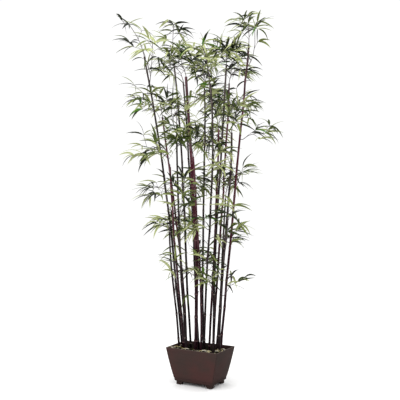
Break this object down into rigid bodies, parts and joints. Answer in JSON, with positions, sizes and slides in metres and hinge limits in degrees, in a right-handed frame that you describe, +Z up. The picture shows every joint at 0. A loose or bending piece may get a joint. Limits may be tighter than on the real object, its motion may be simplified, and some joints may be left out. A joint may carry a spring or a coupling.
{
  "type": "artificial potted bamboo tree",
  "caption": "Tall artificial bamboo: thin dark natural canes fan up from a tapered planter on bracket feet, with wiry sprays of slender fabric leaves.",
  "frame": {"origin": "on the floor under the middle of the crown's outline; the planter's middle is 13 mm to +X and 42 mm to -Y of it", "axes": "+Z up; +X along the planter's long side; +Y towards the planter's back long side"},
  "size_m": [0.8505, 0.7555, 1.9736],
  "materials": {
    "planter": "satin",
    "filling": "matte",
    "cane_maroon": "satin",
    "cane_black": "satin",
    "leaves": "matte"
  },
  "bodies": {
    "root": {"planter": "planter", "filling": "filling", "cane_01": "cane_black", "cane_02": "cane_maroon", "cane_03": "cane_black", "cane_04": "cane_maroon", "cane_05": "cane_black", "cane_06": "cane_black", "cane_07": "cane_maroon", "cane_08": "cane_black", "cane_09": "cane_maroon", "cane_10": "cane_black", "cane_11": "cane_black", "cane_12": "cane_maroon", "cane_13": "cane_black", "cane_14": "cane_maroon", "cane_15": "cane_black", "cane_16": "cane_black", "cane_17": "cane_maroon", "spray_01": "leaves", "spray_02": "leaves", "spray_03": "leaves", "spray_04": "leaves", "spray_05": "leaves", "spray_06": "leaves", "spray_07": "leaves", "spray_08": "leaves", "spray_09": "leaves", "spray_10": "leaves", "spray_11": "leaves", "spray_12": "leaves", "spray_13": "leaves", "spray_14": "leaves", "spray_15": "leaves", "spray_16": "leaves", "spray_17": "leaves", "spray_18": "leaves", "spray_19": "leaves", "spray_20": "leaves", "spray_21": "leaves", "spray_22": "leaves", "spray_23": "leaves", "spray_24": "leaves", "spray_25": "leaves", "spray_26": "leaves", "spray_27": "leaves", "spray_28": "leaves", "spray_29": "leaves", "spray_30": "leaves", "spray_31": "leaves", "spray_32": "leaves", "spray_33": "leaves", "spray_34": "leaves", "spray_35": "leaves", "spray_36": "leaves", "spray_37": "leaves", "spray_38": "leaves", "spray_39": "leaves", "spray_40": "leaves", "spray_41": "leaves"}
  },
  "joints": []
}
